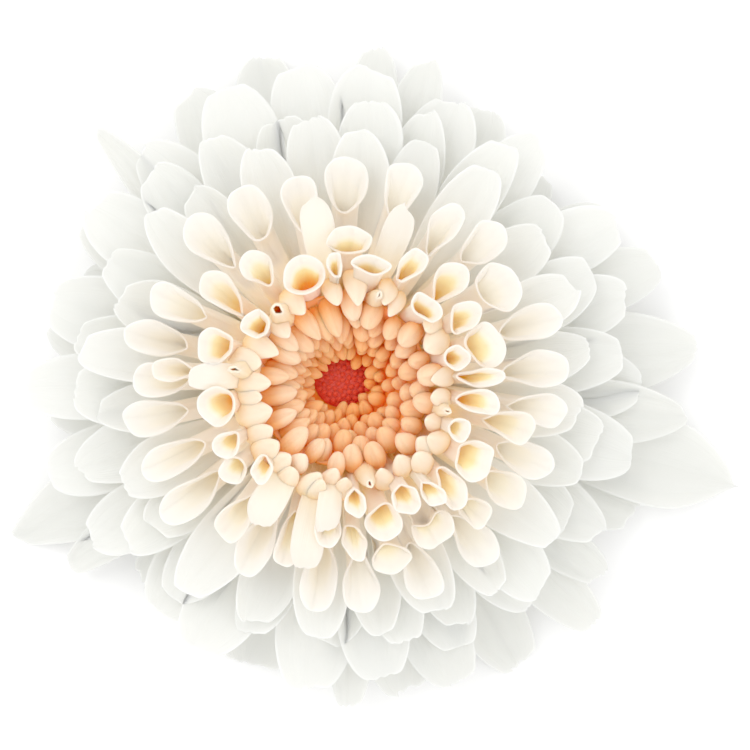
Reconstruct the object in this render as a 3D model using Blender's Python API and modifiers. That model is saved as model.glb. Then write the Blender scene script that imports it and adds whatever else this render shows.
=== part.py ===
"""Pompon chrysanthemum: one bloom, picked close under its head and lying face up.

The frame is +Z up, with the origin at the centre of the cut stem's end, on the surface that the
bloom rests on. +X and +Y run along the surface. Azimuths are in degrees from +X towards +Y.
From the outside in, the florets are flat ray petals, spoon-shaped petals, quills with open
mouths, closed buds on the wall of a funnel, and the youngest buds at the funnel's floor.
Sizes are in millimetres, and MM turns them into metres.
"""

import math
import random
from collections import namedtuple

import bmesh
import bpy
from mathutils import Matrix, Vector

MM = 0.001
SEED = 11
GOLDEN_ANGLE = 180 * (3 - math.sqrt(5))

# Thicknesses and clearances
BLADE = 0.6
GAP = 0.3

# The stem's stub and the green cup over it
STEM_RADIUS = 2.6
STEM_HEIGHT = 2.7
CUP_FOOT_RADIUS = 3.3
CUP_RADIUS = 9.2
CUP_TOP = 6.4
BRACT_COUNT = 8

# The receptacle, which the florets grow from, level by level
RAY_CORE_RADIUS = 11.6
RAY_CORE_TOP = 10.5
QUILL_CORE_RADIUS = 10.4
QUILL_CORE_TOP = 13.0
COLLAR_RADIUS = 8.2
COLLAR_TOP = 15.2

# The funnel of buds, and the pit in it
BUD_BASE_RADIUS = 7.3
BUD_RIM_RADIUS = 10.0
BUD_RIM_TOP = 24.4
BUD_COUNT = 88
RIM_FLORET_COUNT = 19
PIT_RADIUS = 3.3
PIT_FLOOR = 15.0
PIT_EDGE = 17.0
HEART_COUNT = 17

# How far the crown slides along X and Y for each millimetre of its height over the ray petals
CROWN_LEAN = (0.08, -0.045)

# A ring of like florets: how many, the keel's root and tip with its slope at each, the width at
# its widest, its own form, and how far a tip may stray. The form of a spoon is half the angle
# that its section bends through. The form of a quill is the share of its length where it opens.
Ring = namedtuple(
    "Ring", "count root_r root_z root_slope tip_r tip_z tip_slope width form stray"
)
SPOON_RINGS = (
    Ring(22, 9.8, 8.6, 38, 35.2, 11.2, -18, 8.2, 38, 1.0),
    Ring(24, 9.8, 9.6, 47, 28.8, 17.8, -8, 6.4, 60, 0.9),
)
QUILL_RINGS = (
    Ring(19, 9.7, 11.7, 48, 23.6, 22.2, 12, 6.0, 0.42, 0.7),
    Ring(19, 9.5, 13.0, 59, 19.8, 26.3, 30, 5.4, 0.58, 0.5),
    Ring(19, 9.1, 14.4, 76, 16.8, 28.6, 50, 4.2, 0.74, 0.2),
)

# The outermost petals make the bloom's outline, so each is placed by hand: azimuth, reach of the
# tip, width, height of the tip, and the end's width beside the widest. Those at TOUCHING rest on
# the surface.
TOUCHING = 0.3
OUTER_PETALS = (
    (345.0, 47.8, 11.0, TOUCHING, 0.12),
    (354.0, 41.0, 7.4, 4.2, 0.30),
    (6.5, 41.8, 9.8, 2.6, 0.60),
    (20.0, 39.6, 7.6, 5.0, 0.65),
    (30.5, 37.4, 8.4, 2.4, 0.75),
    (46.0, 34.2, 8.4, TOUCHING, 0.70),
    (61.5, 36.4, 8.2, 3.2, 0.65),
    (74.5, 39.2, 6.4, 4.6, 0.55),
    (84.0, 39.8, 6.6, 2.6, 0.50),
    (104.0, 39.8, 8.0, TOUCHING, 0.65),
    (117.5, 38.6, 8.6, 3.4, 0.60),
    (134.0, 40.6, 4.4, 5.0, 0.60),
    (147.5, 35.4, 8.4, 2.6, 0.70),
    (159.0, 33.2, 8.4, TOUCHING, 0.70),
    (170.0, 34.8, 7.4, 3.6, 0.75),
    (184.0, 34.8, 9.2, 2.2, 0.65),
    (206.5, 43.0, 9.6, TOUCHING, 0.30),
    (214.5, 39.0, 5.6, 3.6, 0.55),
    (226.0, 33.8, 6.4, 5.2, 0.65),
    (235.5, 34.0, 7.0, 3.0, 0.70),
    (254.5, 35.8, 9.4, TOUCHING, 0.55),
    (271.0, 38.8, 5.6, 3.6, 0.50),
    (281.0, 38.2, 8.2, 2.4, 0.65),
    (291.5, 38.2, 8.4, 4.6, 0.65),
    (302.5, 40.4, 8.0, TOUCHING, 0.65),
    (317.0, 42.0, 6.6, 2.4, 0.50),
    (322.0, 38.6, 5.8, 5.6, 0.55),
    (337.0, 38.6, 9.2, 2.8, 0.65),
)
# Tips that end over HIGH_TIP belong to petals that leave the core OUTER_STEP higher, and the
# others leave it as much lower.
HIGH_TIP = 3.0
OUTER_STEP = 0.45

draw = random.Random(SEED)


def vary(amount):
    """A seeded draw from -amount to amount."""
    return draw.uniform(-amount, amount)


def new_collection(name, parent):
    collection = bpy.data.collections.new(name)
    parent.children.link(collection)
    return collection


def material(name, colour, roughness):
    made = bpy.data.materials.new(name)
    made.use_nodes = True
    shader = made.node_tree.nodes["Principled BSDF"]
    shader.inputs["Base Color"].default_value = (*colour, 1)
    shader.inputs["Roughness"].default_value = roughness
    shader.inputs["Metallic"].default_value = 0
    return made


def object_from(builder, name, collection):
    """A mesh object from a bmesh, split into triangles alike on opposite faces."""
    bmesh.ops.triangulate(builder, faces=builder.faces[:], quad_method="FIXED")
    mesh = bpy.data.meshes.new(name)
    builder.to_mesh(mesh)
    builder.free()
    made = bpy.data.objects.new(name, mesh)
    collection.objects.link(made)
    return made


def turned(name, profile, steps, collection):
    """A closed solid of revolution about +Z, from (radius, height) points that start and end on
    the axis and run down the outer side."""
    mesh = bpy.data.meshes.new(name)
    points = [(radius * MM, 0, height * MM) for radius, height in profile]
    mesh.from_pydata(points, [(i, i + 1) for i in range(len(points) - 1)], [])
    made = bpy.data.objects.new(name, mesh)
    collection.objects.link(made)
    screw = made.modifiers.new("turn", "SCREW")
    screw.steps = screw.render_steps = steps
    screw.use_merge_vertices = True
    screw.merge_threshold = 0.00001
    split = made.modifiers.new("triangles", "TRIANGULATE")
    split.quad_method = "FIXED"
    return made


def keel_of(root, root_slope, tip, tip_slope):
    """A function of t from 0 at the root to 1 at the tip, which gives (radius, height, slope)
    along a cubic curve that leaves the root and reaches the tip at the given slopes."""
    ease = 0.36
    first, last = Vector(root), Vector(tip)
    pull = (last - first).length * ease
    leave = Vector((math.cos(math.radians(root_slope)), math.sin(math.radians(root_slope))))
    arrive = Vector((math.cos(math.radians(tip_slope)), math.sin(math.radians(tip_slope))))
    second, third = first + leave * pull, last - arrive * pull

    def keel(t):
        s = 1 - t
        point = first * s**3 + second * 3 * s * s * t + third * 3 * s * t * t + last * t**3
        run = (second - first) * s * s + (third - second) * 2 * s * t + (last - third) * t * t
        return point.x, point.y, math.atan2(run.y, run.x)

    return keel


def on_keel(keel, t, azimuth, side, lift):
    """The point at t along the keel, moved sideways and lifted to the petal's upper side."""
    radius, height, slope = keel(t)
    radius -= lift * math.sin(slope)
    height += lift * math.cos(slope)
    turn = math.radians(azimuth)
    return MM * Vector(
        (
            radius * math.cos(turn) - side * math.sin(turn),
            radius * math.sin(turn) + side * math.cos(turn),
            height,
        )
    )


def petal_width(t, end):
    """A petal's width at t, beside its widest: a narrow claw, a broad limb and its end."""
    claw, widest = 0.24, 0.7
    if t < widest:
        s = t / widest
        return claw + (1 - claw) * s * s * (3 - 2 * s)
    s = (t - widest) / (1 - widest)
    return end + (1 - end) * math.sqrt(max(0.0, 1 - s * s))


def blade(name, keel, azimuth, width, curl, end, rows, collection):
    """A petal or bract: an open grid bent along its keel and curled across it, then solidified.
    Its rows draw closer towards the end, whose corners are held back from its middle."""
    row_spread = 1.4
    round_end = 0.035
    half_curl = math.radians(curl)
    builder = bmesh.new()
    bmesh.ops.create_grid(builder, x_segments=2, y_segments=rows, size=0.5)
    for vertex in builder.verts:
        across = 2 * vertex.co.x
        t = 1 - (0.5 - vertex.co.y) ** row_spread
        radius = width * petal_width(t, end) / (2 * half_curl)
        side = radius * math.sin(across * half_curl)
        lift = radius * (1 - math.cos(across * half_curl))
        vertex.co = on_keel(keel, t * (1 - round_end * across**2 * t), azimuth, side, lift)
    made = object_from(builder, name, collection)
    solid = made.modifiers.new("thickness", "SOLIDIFY")
    solid.thickness = BLADE * MM
    solid.offset = 0
    return made


def quill(name, keel, azimuth, width, opens, collection):
    """A tubular floret that widens from its root, solid up to its throat. Its mouth slants from
    the near rim, at the share of its length where it opens, to the far lip at its tip."""
    sides, rows = 6, 4
    root_share, throat_share, floor_share = 0.28, 0.55, 0.4

    def place(turn, row):
        back = (1 - math.cos(turn)) / 2  # 0 on the keel's side, 1 on the side of the bloom's axis
        rim = 1 - (1 - opens) * back**1.5
        along = (0.0, throat_share * rim, rim, rim, throat_share * rim)[row]
        outside = width / 2 * (root_share + (1 - root_share) * along**1.4)
        radius = (outside, outside, outside, outside - BLADE, outside * floor_share)[row]
        return on_keel(keel, along, azimuth, radius * math.sin(turn), outside - radius * math.cos(turn))

    builder = bmesh.new()
    bmesh.ops.create_grid(builder, x_segments=sides, y_segments=rows, size=0.5)
    for vertex in builder.verts:
        vertex.co = place(math.tau * (vertex.co.x + 0.5), round((vertex.co.y + 0.5) * rows))
    bmesh.ops.remove_doubles(builder, verts=builder.verts[:], dist=0.00001)
    bmesh.ops.holes_fill(builder, edges=builder.edges[:], sides=sides)
    bmesh.ops.recalc_face_normals(builder, faces=builder.faces[:])
    return object_from(builder, name, collection)


def bud(name, foot, azimuth, lean, width, length, collection):
    """A closed floret: a pointed bud, sunk at its foot, whose tip leans to the bloom's axis."""
    foot_share = 0.14
    builder = bmesh.new()
    bmesh.ops.create_icosphere(builder, subdivisions=1, radius=0.5)
    for vertex in builder.verts:
        vertex.co.x *= width
        vertex.co.y *= width
        vertex.co.z = (vertex.co.z + 0.5 - foot_share) * length
    stand = (
        Matrix.Rotation(math.radians(azimuth), 4, "Z")
        @ Matrix.Translation((foot[0], 0, foot[1]))
        @ Matrix.Rotation(math.radians(-lean), 4, "Y")
    )
    builder.transform(Matrix.Scale(MM, 4) @ stand)
    return object_from(builder, name, collection)


def keep_outer_skin(mesh):
    """Drops the skins of hollows that fusing seals, which fills them, and any loose scrap."""
    builder = bmesh.new()
    builder.from_mesh(mesh)
    unseen = set(builder.faces)
    skins = []
    while unseen:
        front = [unseen.pop()]
        skin = set(front)
        while front:
            for edge in front.pop().edges:
                reached = [face for face in edge.link_faces if face in unseen]
                unseen.difference_update(reached)
                skin.update(reached)
                front.extend(reached)
        skins.append(skin)
    largest = max(skins, key=len)
    dropped = [face for skin in skins if skin is not largest for face in skin]
    bmesh.ops.delete(builder, geom=dropped, context="FACES")
    builder.to_mesh(mesh)
    builder.free()


def fused(core, repeats, finish):
    """The core with every object of the collection joined to it, as one mesh in one object."""
    union = core.modifiers.new("join", "BOOLEAN")
    union.operation = "UNION"
    union.operand_type = "COLLECTION"
    union.collection = repeats
    graph = bpy.context.evaluated_depsgraph_get()
    mesh = bpy.data.meshes.new_from_object(core.evaluated_get(graph))
    keep_outer_skin(mesh)
    core.modifiers.clear()
    core.data = mesh
    mesh.materials.clear()
    mesh.materials.append(finish)
    for helper in list(repeats.objects):
        bpy.data.objects.remove(helper)
    bpy.data.collections.remove(repeats)
    return core


def leaning(node):
    """The node with the crown's lean: each level slides sideways with its height over the rays."""
    lean_x, lean_y = CROWN_LEAN
    slide = Matrix.Identity(4)
    slide[0][2], slide[0][3] = lean_x, -lean_x * RAY_CORE_TOP * MM
    slide[1][2], slide[1][3] = lean_y, -lean_y * RAY_CORE_TOP * MM
    node.data.transform(slide)
    return node


def make_stem(bloom):
    """The stub of stem that the cut leaves, whose flat end meets the surface."""
    foot_radius = STEM_RADIUS - 0.2
    stem = turned(
        "cut_stem",
        ((0, STEM_HEIGHT), (STEM_RADIUS, STEM_HEIGHT), (foot_radius, 0), (0, 0)),
        16,
        bloom,
    )
    stem.data.materials.append(material("stem green", (0.30, 0.42, 0.16), 0.6))


def make_involucre(bloom):
    """The green cup under the bloom, with two rows of pointed bracts fused to it."""
    rim_depth, rim_inset = 1.7, 1.6
    base = STEM_HEIGHT + GAP
    core = turned(
        "involucre",
        (
            (0, CUP_TOP),
            (CUP_RADIUS, CUP_TOP),
            (CUP_RADIUS - rim_inset, CUP_TOP - rim_depth),
            (CUP_FOOT_RADIUS, base),
            (0, base),
        ),
        20,
        bloom,
    )
    bracts = new_collection("bracts", bloom)
    for row, reach, tip_height, width in ((0, 9.4, 4.4, 5.0), (1, 13.2, 6.2, 6.2)):
        for i in range(BRACT_COUNT):
            azimuth = (i + 0.5 * row) * 360 / BRACT_COUNT + vary(2)
            root = (3.6 + row, 3.4 + 1.2 * row)
            keel = keel_of(root, 8, (reach + vary(0.6), tip_height), 26)
            blade(f"bract_{row}_{i}", keel, azimuth, width, 24, 0.2, 2, bracts)
    fused(core, bracts, material("bract green", (0.33, 0.45, 0.20), 0.6))


def make_ray_petals(bloom):
    """The white petals: the hand-placed outer ring and two rings of spoons above it."""
    base = CUP_TOP + GAP
    core = turned(
        "ray_petals",
        (
            (0, RAY_CORE_TOP),
            (RAY_CORE_RADIUS - 1.0, RAY_CORE_TOP),
            (RAY_CORE_RADIUS, RAY_CORE_TOP - 1.8),
            (CUP_RADIUS + GAP, base),
            (0, base),
        ),
        20,
        bloom,
    )
    petals = new_collection("petals", bloom)
    for i, (azimuth, reach, width, tip_height, end) in enumerate(OUTER_PETALS):
        step = OUTER_STEP if tip_height > HIGH_TIP else -OUTER_STEP
        keel = keel_of((8.8, 7.3 + step), 23 + 8 * step, (reach, tip_height), -24)
        blade(f"outer_{i}", keel, azimuth, width, 26, end, 4, petals)
    for place, ring in enumerate(SPOON_RINGS):
        for i in range(ring.count):
            azimuth = (i + 0.5 * place) * 360 / ring.count + vary(2)
            step = 0.45 if i % 2 else -0.45
            tip = (ring.tip_r + vary(ring.stray), ring.tip_z + 1.4 * step)
            keel = keel_of((ring.root_r, ring.root_z), ring.root_slope + 3 * step, tip, ring.tip_slope)
            width = ring.width * (1 + vary(0.08))
            blade(f"spoon_{place}_{i}", keel, azimuth, width, ring.form, 0.6, 4, petals)
    fused(core, petals, material("petal white", (0.93, 0.93, 0.88), 0.55))


def make_quills(bloom):
    """The cream tubes with open mouths, on a collar that seats the buds."""
    base = RAY_CORE_TOP + GAP
    core = turned(
        "quilled_florets",
        (
            (0, QUILL_CORE_TOP),
            (BUD_BASE_RADIUS + GAP, QUILL_CORE_TOP),
            (COLLAR_RADIUS, COLLAR_TOP),
            (QUILL_CORE_RADIUS, COLLAR_TOP - 1.0),
            (QUILL_CORE_RADIUS - 0.1, base + 1.6),
            (QUILL_CORE_RADIUS - 1.2, base),
            (0, base),
        ),
        20,
        bloom,
    )
    tubes = new_collection("tubes", bloom)
    for place, ring in enumerate(QUILL_RINGS):
        for i in range(ring.count):
            azimuth = (i + 0.5 * place) * 360 / ring.count + vary(1.3)
            tip = (ring.tip_r + vary(ring.stray), ring.tip_z + vary(0.3))
            keel = keel_of((ring.root_r, ring.root_z), ring.root_slope, tip, ring.tip_slope)
            width = ring.width * (1 + vary(0.08))
            quill(f"quill_{place}_{i}", keel, azimuth, width, ring.form, tubes)
    leaning(fused(core, tubes, material("quill cream", (0.95, 0.88, 0.74), 0.55)))


def make_buds(bloom):
    """The peach buds: closed florets on a golden-angle spiral round the wall of the funnel, which
    grow larger towards its rim, and a ring of longer ones on the rim itself."""
    crowding = 0.75
    base = QUILL_CORE_TOP + GAP
    core = turned(
        "centre_buds",
        (
            (0, PIT_FLOOR),
            (PIT_RADIUS, PIT_FLOOR),
            (PIT_RADIUS, PIT_EDGE),
            (BUD_RIM_RADIUS - 0.9, BUD_RIM_TOP),
            (BUD_RIM_RADIUS, BUD_RIM_TOP - 0.2),
            (BUD_BASE_RADIUS, base),
            (0, base),
        ),
        14,
        bloom,
    )
    buds = new_collection("buds", bloom)
    inner, outer = PIT_RADIUS + 0.35, BUD_RIM_RADIUS - 0.75
    for i in range(BUD_COUNT):
        share = (i + 0.5) / BUD_COUNT
        radius = (inner**crowding + (outer**crowding - inner**crowding) * share) ** (1 / crowding)
        out = (radius - inner) / (outer - inner)
        height = PIT_EDGE + (BUD_RIM_TOP - PIT_EDGE) * out
        width = 1.25 + 0.95 * out
        bud(f"bud_{i}", (radius, height), i * GOLDEN_ANGLE, 34 - 12 * out, width, 1.7 * width, buds)
    for i in range(RIM_FLORET_COUNT):
        azimuth = (i + 0.5) * 360 / RIM_FLORET_COUNT + vary(1.5)
        bud(f"rim_{i}", (BUD_RIM_RADIUS - 0.6, BUD_RIM_TOP - 1.0), azimuth, -11, 2.0, 4.6, buds)
    leaning(fused(core, buds, material("bud peach", (0.95, 0.66, 0.45), 0.5)))


def make_heart(bloom):
    """The youngest buds, deep in the funnel: a low dome with small points on a spiral."""
    radius = PIT_RADIUS - GAP
    base = PIT_FLOOR + GAP
    dome = 1.0
    core = turned(
        "heart",
        (
            (0, base + dome),
            (radius * 0.6, base + 0.8 * dome),
            (radius, base + 0.3 * dome),
            (radius, base),
            (0, base),
        ),
        14,
        bloom,
    )
    points = new_collection("points", bloom)
    for i in range(HEART_COUNT):
        out = math.sqrt((i + 0.5) / HEART_COUNT) * (radius - 0.55)
        foot = (out, base + 0.8 * dome - 0.5 * dome * (out / radius) ** 2)
        bud(f"point_{i}", foot, i * GOLDEN_ANGLE, 12 * out / radius, 0.8, 1.8, points)
    leaning(fused(core, points, material("heart red", (0.62, 0.10, 0.05), 0.6)))


for left_over in list(bpy.data.objects):
    bpy.data.objects.remove(left_over)
bloom = new_collection("pompon_chrysanthemum", bpy.context.scene.collection)
make_stem(bloom)
make_involucre(bloom)
make_ray_petals(bloom)
make_quills(bloom)
make_buds(bloom)
make_heart(bloom)
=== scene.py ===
"""Pompon chrysanthemum: one white bloom with a peach centre, picked close under its head.

It lies face up on a pale table, and the camera looks straight down on it. The sections go from
the cut stem and the cup, over the tiers of petals and the crown, to the heart. Sizes are in
millimetres and angles in degrees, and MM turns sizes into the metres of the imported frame.
"""

import math
import random

import bpy
import numpy as np
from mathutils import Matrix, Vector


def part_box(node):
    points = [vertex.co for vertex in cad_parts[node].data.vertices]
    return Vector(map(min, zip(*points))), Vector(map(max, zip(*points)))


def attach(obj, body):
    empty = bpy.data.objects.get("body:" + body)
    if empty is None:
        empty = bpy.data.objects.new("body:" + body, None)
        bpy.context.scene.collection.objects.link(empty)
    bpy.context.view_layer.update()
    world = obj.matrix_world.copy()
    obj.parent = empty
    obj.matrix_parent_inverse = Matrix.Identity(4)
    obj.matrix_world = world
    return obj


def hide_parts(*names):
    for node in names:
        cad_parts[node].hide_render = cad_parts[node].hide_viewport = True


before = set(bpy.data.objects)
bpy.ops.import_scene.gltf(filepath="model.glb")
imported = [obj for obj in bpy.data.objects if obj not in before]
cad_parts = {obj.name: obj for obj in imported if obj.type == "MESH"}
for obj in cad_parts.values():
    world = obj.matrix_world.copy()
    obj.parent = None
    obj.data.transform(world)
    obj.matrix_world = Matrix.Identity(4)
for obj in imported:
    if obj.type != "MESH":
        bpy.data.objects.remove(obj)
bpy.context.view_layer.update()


# The cut stem: a short green stub under the head, round and finely ribbed. The blade that took it
# left a flat end with a pale ring of wood round softer pith. The bloom partly rests on that end.
MM = 0.001
STEM_SIDES = 44
STEM_RIBS = 11
STEM_RIB_DEPTH = 0.025
stem_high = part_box("cut_stem")[1]
stem_radius = stem_high.x / MM
stem_top = stem_high.z / MM
# Radius, height and depth of each ring, from the middle of the cut face up to the cup.
STEM_PROFILE = (
    (0.5, 0.12, 0.05),
    (1.35, 0.10, 0.1),
    (1.75, 0.02, 0.35),
    (stem_radius - 0.35, 0.0, 0.6),
    (stem_radius - 0.15, 0.12, 0.8),
    (stem_radius - 0.1, 1.0, 0.9),
    (stem_radius - 0.05, 2.0, 0.95),
    (stem_radius, stem_top - 0.1, 1.0),
    (stem_radius - 0.2, stem_top, 1.0),
    (0.5, stem_top, 1.0),
)
# Tissue: a soft shine, a glow in which red light goes a little further than blue, faint blotches,
# and fine veins, counted over half a floret's width and over its length. Each floret's own tone
# shifts its veins, so that no two are alike.
SOFT_SHINE = 0.35
GLOW_COLOURS = (1.0, 0.96, 0.9)
BLOTCHES_PER_MM = 0.45
VEINS_ACROSS = 16.0
VEINS_ALONG = 1.6
VEIN_SHIFT = 90.0
# A turned body's veins run up it, and one length of veins is this high.
VEIN_HEIGHT = 4


def seen(red, green, blue):
    """A colour as a chart gives it, 0 to 255, turned into the shader's own values."""
    def straight(value):
        value /= 255
        # The standard curve of a chart's colours.
        return value / 12.92 if value <= 0.04045 else ((value + 0.055) / 1.055) ** 2.4

    return straight(red), straight(green), straight(blue), 1.0


def tissue(name, tones, roughness=0.45, glow=0.8, glow_reach=1.2, vein=0.035, mottle=0.05):
    """Plant tissue. Its colour runs through the tones, from a part that sees the light to a part
    deep in the bloom, as the mesh's depth values say. On petals and florets the tones are partly
    their own colour, the gold of throats and bases, and partly painted light and shade: the lit end
    is a greyer, darker tone, painted shade where the light falls most, and the deep end is painted
    warm shade, a lighter and warmer tone where shade falls between the florets. Fine veins run
    along each floret."""
    made = bpy.data.materials.new(name)
    made.use_nodes = True
    nodes, links = made.node_tree.nodes, made.node_tree.links
    shader = nodes["Principled BSDF"]
    shader.inputs["Roughness"].default_value = roughness
    shader.inputs["Subsurface Weight"].default_value = glow
    shader.inputs["Subsurface Scale"].default_value = glow_reach * MM
    shader.inputs["Subsurface Radius"].default_value = GLOW_COLOURS
    shader.inputs["Specular IOR Level"].default_value = SOFT_SHINE

    def value(word):
        node = nodes.new("ShaderNodeAttribute")
        node.attribute_name = word
        return node.outputs["Fac"]

    def worked_out(operation, first, second):
        node = nodes.new("ShaderNodeMath")
        node.operation = operation
        for socket, term in zip(node.inputs, (first, second)):
            if isinstance(term, float):
                socket.default_value = term
            else:
                links.new(term, socket)
        return node.outputs[0]

    def noise(scale, detail, place):
        node = nodes.new("ShaderNodeTexNoise")
        node.inputs["Scale"].default_value = scale
        node.inputs["Detail"].default_value = detail
        links.new(place, node.inputs["Vector"])
        return node.outputs["Fac"]

    blotches = noise(BLOTCHES_PER_MM / MM, 3.0, nodes.new("ShaderNodeTexCoord").outputs["Object"])
    uneven = worked_out("MULTIPLY", worked_out("SUBTRACT", blotches, 0.5), mottle * 2)
    depth = worked_out("ADD", worked_out("ADD", value("depth"), uneven), value("tone"))
    ramp = nodes.new("ShaderNodeValToRGB")
    ramp.color_ramp.interpolation = "B_SPLINE"
    stops = ramp.color_ramp.elements
    while len(stops) < len(tones):
        stops.new(0.5)
    for stop, (at, colour) in zip(stops, tones):
        stop.position = at
        stop.color = colour
    links.new(depth, ramp.inputs["Fac"])
    links.new(ramp.outputs["Color"], shader.inputs["Base Color"])

    course = nodes.new("ShaderNodeCombineXYZ")
    links.new(worked_out("MULTIPLY", value("across"), VEINS_ACROSS), course.inputs["X"])
    links.new(worked_out("MULTIPLY", value("along"), VEINS_ALONG), course.inputs["Y"])
    links.new(worked_out("MULTIPLY", value("tone"), VEIN_SHIFT), course.inputs["Z"])
    relief = nodes.new("ShaderNodeBump")
    relief.inputs["Strength"].default_value = 1.0
    relief.inputs["Distance"].default_value = vein * MM
    links.new(noise(1.0, 2.0, course.outputs["Vector"]), relief.inputs["Height"])
    links.new(relief.outputs["Normal"], shader.inputs["Normal"])
    return made


class Gathering:
    """Sheets of tissue gathered into one piece. Each point of the mesh carries four values: its
    depth in the bloom, which picks its colour with its painted light and shade, its place along and
    across its floret, and its floret's own tone."""

    def __init__(self):
        self.points = []
        self.faces = []
        self.values = {"depth": [], "along": [], "across": [], "tone": []}

    def add(self, points, faces, **values):
        start = len(self.points)
        self.points.extend(map(tuple, points.reshape(-1, 3) * MM))
        self.faces.extend(tuple(start + i for i in face) for face in faces)
        for word, kept in self.values.items():
            kept.extend(np.broadcast_to(values[word], points.size // 3).tolist())

    def piece(self, name, finish, slot, *nodes):
        """The finished piece: it rides on the bloom and stands for CAD nodes. Its slot is not used.
        """
        mesh = bpy.data.meshes.new(name)
        mesh.from_pydata(self.points, [], self.faces)
        for word, kept in self.values.items():
            mesh.attributes.new(word, "FLOAT", "POINT").data.foreach_set("value", kept)
        mesh.shade_smooth()
        mesh.materials.append(finish)
        made = bpy.data.objects.new(name, mesh)
        bpy.context.scene.collection.objects.link(made)
        rounding = made.modifiers.new("rounding", "SUBSURF")
        rounding.levels = rounding.render_levels = 1
        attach(made, "root")
        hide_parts(*nodes)


def strips(rows, columns, closed, start=0):
    """The four-sided faces of a grid of points. A closed one runs right round."""
    faces = []
    for row in range(rows - 1):
        for column in range(columns if closed else columns - 1):
            beside = (column + 1) % columns
            low, high = start + row * columns, start + (row + 1) * columns
            faces.append((low + column, low + beside, high + beside, high + column))
    return faces


def body_faces(rows, columns):
    """The faces of a closed grid whose first and last rings are filled."""
    last = (rows - 1) * columns
    ends = [tuple(range(columns - 1, -1, -1)), tuple(range(last, last + columns))]
    return strips(rows, columns, True) + ends


def turned(gathering, profile, sides, ribs=1, rib_depth=0.0):
    """A turned body from rings of (radius, height, depth in the bloom), the lowest first, with
    shallow ribs."""
    angle = np.arange(sides) * math.tau / sides
    radius, height, depth = np.array(profile, float).T
    ribbed = radius[:, None] * (1 + rib_depth * np.cos(ribs * angle))
    level = np.repeat(height[:, None], sides, 1)
    gathering.add(
        np.stack((ribbed * np.cos(angle), ribbed * np.sin(angle), level), -1),
        body_faces(len(profile), sides),
        depth=np.repeat(depth, sides),
        along=np.repeat(height / VEIN_HEIGHT, sides),
        across=np.tile(np.cos(angle), len(profile)),
        tone=0.0,
    )


stem = Gathering()
turned(stem, STEM_PROFILE, STEM_SIDES, STEM_RIBS, STEM_RIB_DEPTH)
stem_green = tissue(
    "stem_green",
    (
        (0.0, seen(226, 232, 190)),
        (0.35, seen(196, 212, 140)),
        (0.7, seen(124, 152, 78)),
        (1.0, seen(96, 128, 58)),
    ),
    roughness=0.6,
    glow=0.1,
    vein=0.06,
)
stem.piece("stem_stub", stem_green, "stem", "cut_stem")


# The involucre: a shallow green cup that holds the head together, with rows of small pointed
# bracts that overlap like tiles. They are leafy, with a thin papery margin that dries to straw.
CUP_SIDES = 48
CUP_RIBS = 16
CUP_RIB_DEPTH = 0.012
CUP_TOP = 6.4
cup_foot = stem_top + 0.3
# Radius, height and depth of each ring, from the foot up.
CUP_PROFILE = (
    (0.5, cup_foot, 0.6),
    (2.6, cup_foot, 0.6),
    (3.5, cup_foot + 0.15, 0.65),
    (5.6, 3.8, 0.7),
    (7.6, 4.7, 0.75),
    (8.7, 5.5, 0.8),
    (9.15, 6.1, 0.8),
    (9.0, CUP_TOP, 0.7),
    (0.5, CUP_TOP, 0.7),
)
BRACTS_IN_A_ROW = 8
BRACT_ROOT_SLOPE = 8
BRACT_TIP_SLOPE = 26
# The rows of bracts: root radius and height, reach and height of the tips, width, and how many
# bracts a row is turned by.
BRACT_ROWS = (
    (3.6, 3.4, 9.4, 4.4, 5.0, 0.0),
    (4.6, 4.6, 13.2, 6.2, 6.2, 0.5),
)
# How every blade is shaped. Its mesh is finer at the tip and the sides. The teeth are shallow
# waves of the tip, smaller at its sides. With its rounding they hold back only the last of the
# blade, the more so the larger the tip's power is.
TIP_CROWDING = 1.7
SIDE_CROWDING = 0.15
TIP_ROUNDING = 0.016
TOOTH_RATE = 9.4
TOOTH_FADE = 0.5
TIP_POWER = 4
# An end's slope holds this share of the way along a keel, and a lancet end narrows by this power.
KEEL_HOLD = 0.36
LANCET_POWER = 1.5
# The share of a blade that is rolled towards its claw, the grooves and ridges from its middle to
# its side, and the waves along its margins and its keel, in radians to a blade.
ROLLED_PART = 0.6
GROOVES = 3
GROOVE_FADE = 0.4
MARGIN_WAVES = 9.0
SIDES_OUT_OF_STEP = 2.2
SIDEWAYS_WAVES = 7.0
SIDEWAYS_SHARE = 0.5
KEEL_WAVES = 6.0
KEEL_SHARE = 0.35
# Where along a blade its end starts to cup, and its margin to thin, by this share.
CUP_START = 0.72
THIN_START = 0.9
MARGIN_THINNING = 0.35
# How deep the root's tone, partly painted warm shade, is on a blade's sides beside its middle, and
# where the painted shade in its hollow ends.
SIDE_DEPTH = 0.45
HOLLOW_END = 1.05
SEED = 11
draw = random.Random(SEED)


def vary(amount):
    """A seeded draw from -amount to amount."""
    return draw.uniform(-amount, amount)


def keel_of(root, root_slope, tip, tip_slope, t):
    """Points (radius, height) and slope in radians at t, 0 to 1, along a petal's keel, a cubic
    curve that leaves the root and reaches the tip at the given slopes."""
    first, last = np.array(root, float), np.array(tip, float)
    hold = np.hypot(*(last - first)) * KEEL_HOLD
    leave, arrive = (
        np.array((math.cos(math.radians(slope)), math.sin(math.radians(slope))))
        for slope in (root_slope, tip_slope)
    )
    second, third = first + leave * hold, last - arrive * hold
    t = t[..., None]
    s = 1 - t
    point = first * s**3 + second * 3 * s * s * t + third * 3 * s * t * t + last * t**3
    run = (second - first) * s * s + (third - second) * 2 * s * t + (last - third) * t * t
    return point[..., 0], point[..., 1], np.arctan2(run[..., 1], run[..., 0])


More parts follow.
